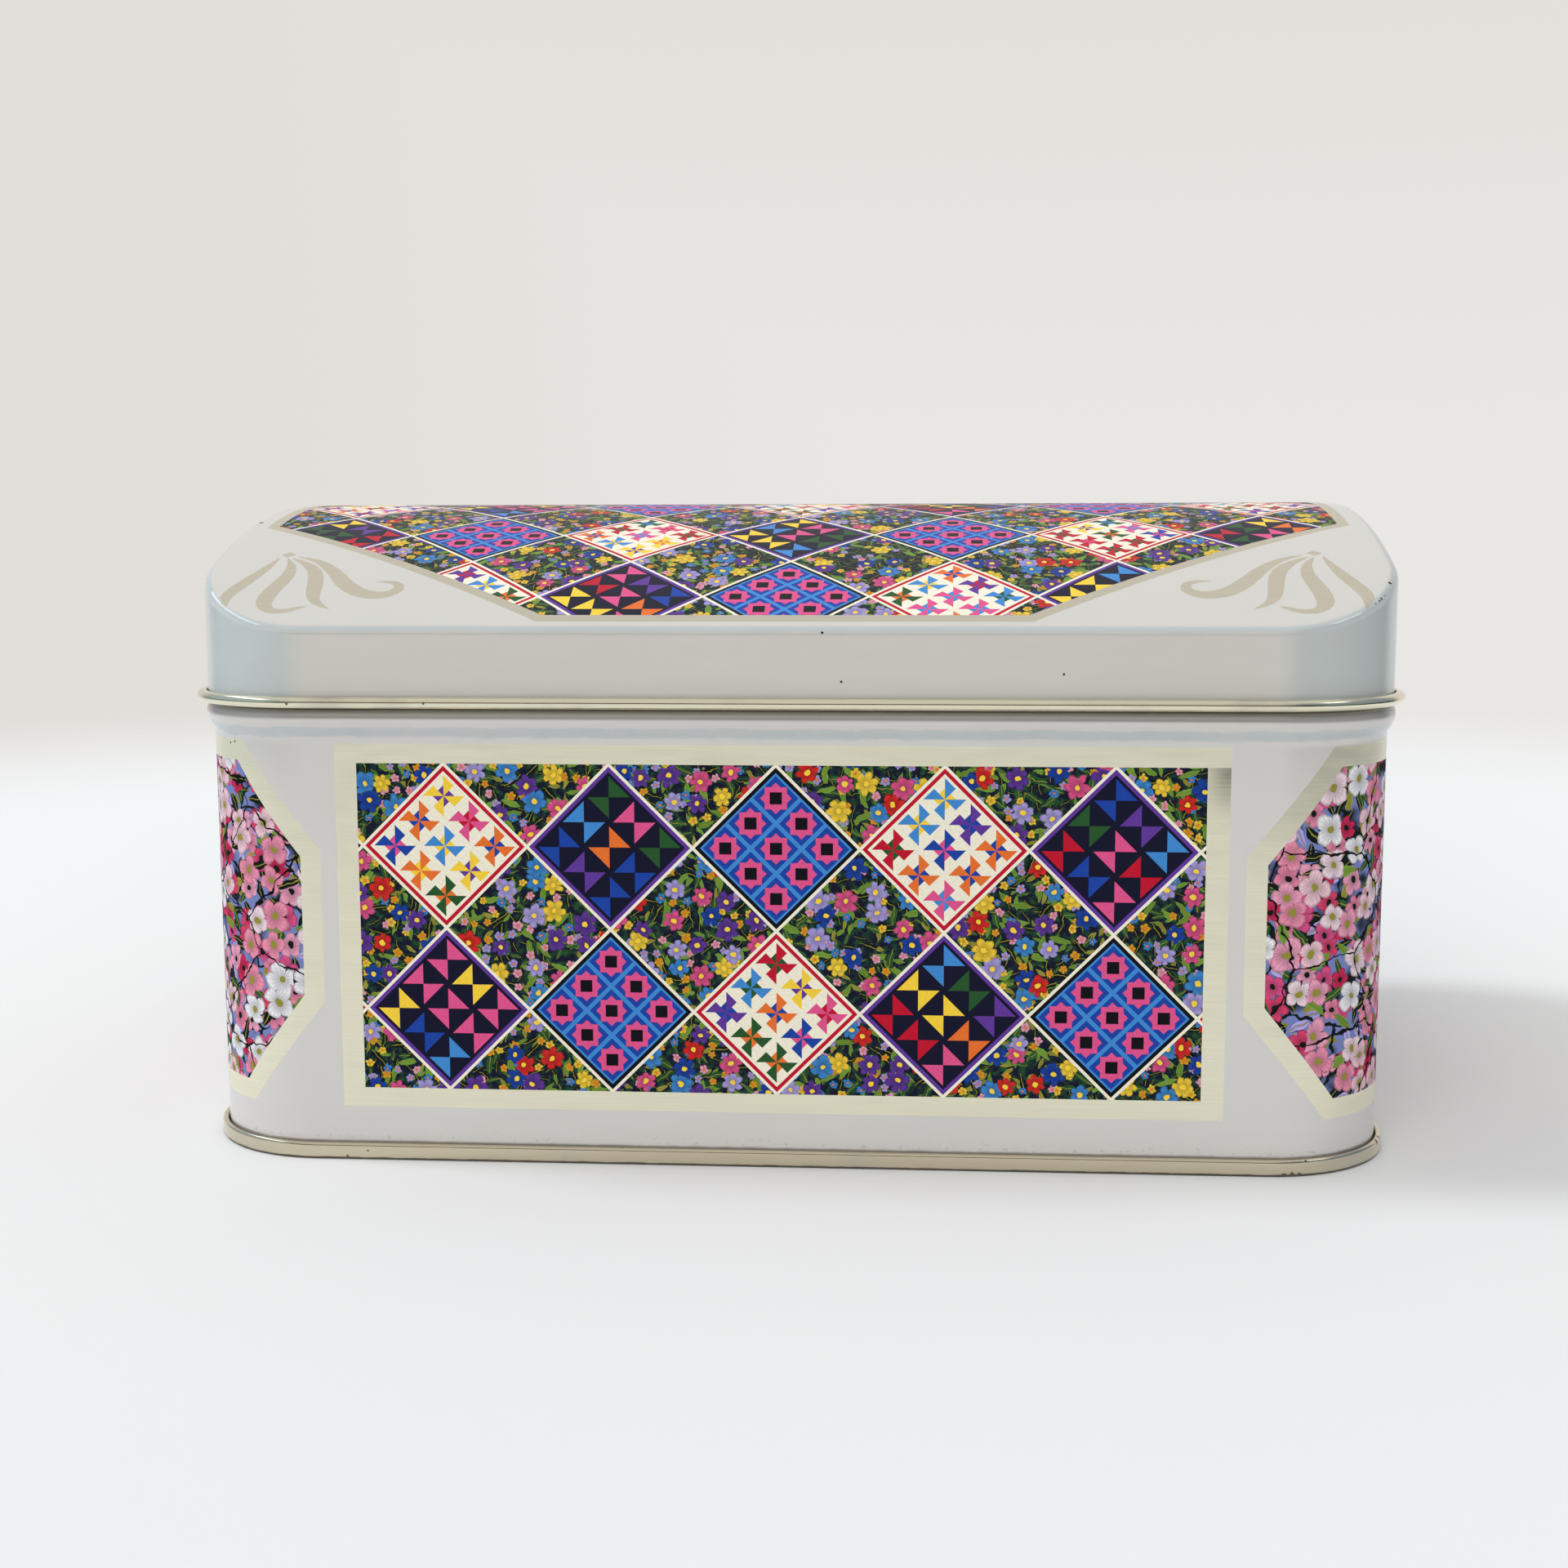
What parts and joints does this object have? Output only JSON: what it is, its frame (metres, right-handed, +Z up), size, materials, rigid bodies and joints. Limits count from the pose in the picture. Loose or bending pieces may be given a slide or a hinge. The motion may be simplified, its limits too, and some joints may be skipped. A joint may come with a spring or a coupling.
{
  "type": "tin box",
  "caption": "Rounded rectangular tin for papers and keepsakes, with a lift-off arched lid, a stop bead under it, a curled mouth and a double-seamed base.",
  "frame": {"origin": "middle of the foot, on the surface that the tin stands on", "axes": "+X right along the long side, +Y towards the back, +Z up"},
  "size_m": [0.2056, 0.1536, 0.1093],
  "materials": {
    "printed_tinplate": "glossy pale grey enamel with printed panels and gold foil frames",
    "bare_tinplate": "bare tinplate under pale gold lacquer"
  },
  "bodies": {
    "tin_body": {"body_wall": "printed_tinplate", "base_plate": "bare_tinplate"},
    "tin_lid": {"lid": "printed_tinplate"}
  },
  "joints": [
    {"name": "lid_lift", "type": "slide", "parent": "tin_body", "child": "tin_lid", "axis": [0, 0, 1], "range_m": [0, 0.06]}
  ]
}
